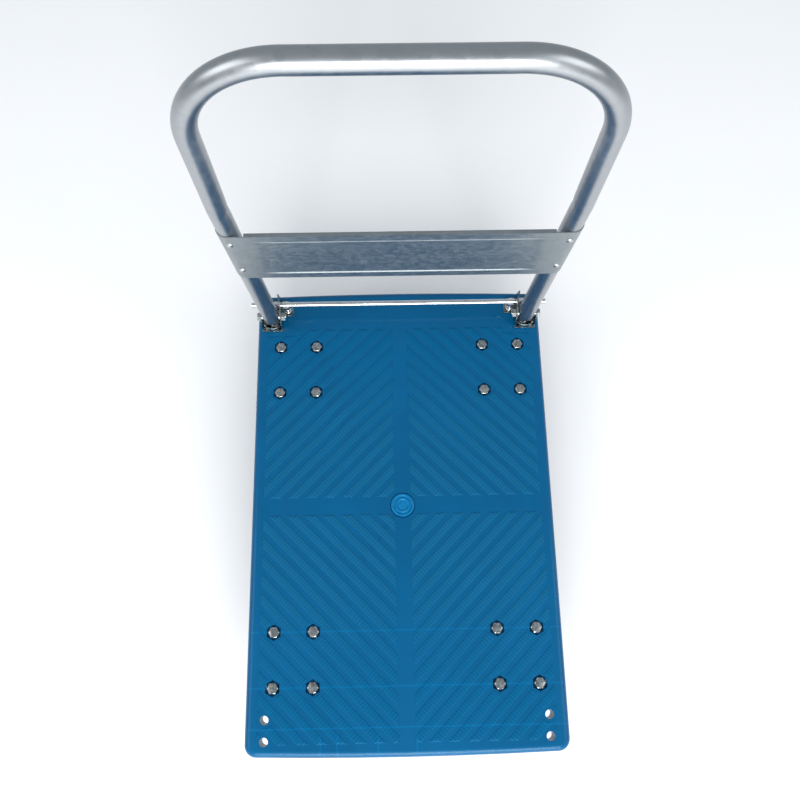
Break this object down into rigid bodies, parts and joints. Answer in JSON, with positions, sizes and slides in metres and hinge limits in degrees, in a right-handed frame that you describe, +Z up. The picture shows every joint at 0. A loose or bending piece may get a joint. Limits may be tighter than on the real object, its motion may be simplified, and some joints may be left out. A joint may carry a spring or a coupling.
{
  "type": "folding platform cart",
  "caption": "Flat moulded deck on two swivel and two fixed casters, with a bent tube handle that folds down onto the deck.",
  "frame": {"origin": "on the floor, under the middle of the deck", "axes": "+X across the cart to the right, +Y along the deck towards the handle, +Z up"},
  "size_m": [0.4926, 0.74, 0.806],
  "materials": {
    "deck_plastic": "moulded polypropylene, fine tread",
    "plug_plastic": "moulded",
    "galvanised_tube": "galvanised, satin",
    "panel_steel": "galvanised sheet, satin",
    "bracket_zinc": "zinc plated, iridescent",
    "fastener_zinc": "zinc plated",
    "rod_steel": "bright plated",
    "spring_steel": "zinc plated wire",
    "caster_zinc": "zinc plated pressing",
    "sleeve_steel": "turned steel",
    "tyre_rubber": "moulded grey-black rubber",
    "wheel_plastic": "moulded polypropylene",
    "bush_nylon": "nylon"
  },
  "bodies": {
    "deck_frame": {"deck": "deck_plastic", "deck_plug": "plug_plastic", "caster_bolts": "fastener_zinc", "caster_washers": "fastener_zinc", "caster_nuts": "fastener_zinc", "hinge_bracket_left": "bracket_zinc", "hinge_bracket_right": "bracket_zinc", "bracket_bolts": "fastener_zinc", "bracket_washers": "fastener_zinc", "bracket_nuts": "fastener_zinc", "hinge_bolts": "fastener_zinc", "hinge_nuts": "fastener_zinc", "lock_springs": "spring_steel", "top_plate_left": "caster_zinc", "top_plate_right": "caster_zinc", "kingpins": "sleeve_steel", "kingpin_nuts": "fastener_zinc", "fixed_fork_left": "caster_zinc", "fixed_fork_right": "caster_zinc", "front_axle_bolts": "fastener_zinc", "front_axle_nuts": "fastener_zinc", "front_axle_sleeves": "sleeve_steel"},
    "handle": {"handle_tube": "galvanised_tube", "pivot_bushes": "sleeve_steel", "handle_panel": "panel_steel", "panel_rivets": "fastener_zinc"},
    "lock_rod": {"lock_rod": "rod_steel", "lock_rod_seats": "rod_steel", "lock_rod_clips": "fastener_zinc"},
    "swivel_left": {"swivel_fork_left": "caster_zinc", "ball_race_left": "sleeve_steel", "rear_axle_bolt_left": "fastener_zinc", "rear_axle_nut_left": "fastener_zinc", "rear_axle_sleeve_left": "sleeve_steel"},
    "rear_wheel_left": {"rear_tyre_left": "tyre_rubber", "rear_wheel_core_left": "wheel_plastic", "rear_wheel_bush_left": "bush_nylon"},
    "front_wheel_left": {"front_tyre_left": "tyre_rubber", "front_wheel_core_left": "wheel_plastic", "front_wheel_bush_left": "bush_nylon"},
    "swivel_right": {"swivel_fork_right": "caster_zinc", "ball_race_right": "sleeve_steel", "rear_axle_bolt_right": "fastener_zinc", "rear_axle_nut_right": "fastener_zinc", "rear_axle_sleeve_right": "sleeve_steel"},
    "rear_wheel_right": {"rear_tyre_right": "tyre_rubber", "rear_wheel_core_right": "wheel_plastic", "rear_wheel_bush_right": "bush_nylon"},
    "front_wheel_right": {"front_tyre_right": "tyre_rubber", "front_wheel_core_right": "wheel_plastic", "front_wheel_bush_right": "bush_nylon"}
  },
  "joints": [
    {"name": "handle_fold", "type": "hinge", "parent": "deck_frame", "child": "handle", "pos_m": [0, 0.317, 0.186], "axis": [1, 0, 0], "range_deg": [0, 90]},
    {"name": "lock_rod_press", "type": "slide", "parent": "deck_frame", "child": "lock_rod", "axis": [0, 0, -1], "range_m": [0, 0.008], "stiffness_N_per_m": 3000, "springref_m": -0.004, "deforming": ["lock_springs"]},
    {"name": "swivel_left", "type": "hinge", "parent": "deck_frame", "child": "swivel_left", "pos_m": [-0.17, 0.231, 0.128], "axis": [0, 0, 1], "continuous": true},
    {"name": "swivel_right", "type": "hinge", "parent": "deck_frame", "child": "swivel_right", "pos_m": [0.17, 0.231, 0.128], "axis": [0, 0, 1], "continuous": true},
    {"name": "rear_wheel_left_roll", "type": "hinge", "parent": "swivel_left", "child": "rear_wheel_left", "pos_m": [-0.17, 0.266, 0.05], "axis": [1, 0, 0], "continuous": true},
    {"name": "front_wheel_left_roll", "type": "hinge", "parent": "deck_frame", "child": "front_wheel_left", "pos_m": [-0.17, -0.231, 0.05], "axis": [1, 0, 0], "continuous": true},
    {"name": "rear_wheel_right_roll", "type": "hinge", "parent": "swivel_right", "child": "rear_wheel_right", "pos_m": [0.17, 0.266, 0.05], "axis": [1, 0, 0], "continuous": true},
    {"name": "front_wheel_right_roll", "type": "hinge", "parent": "deck_frame", "child": "front_wheel_right", "pos_m": [0.17, -0.231, 0.05], "axis": [1, 0, 0], "continuous": true}
  ]
}
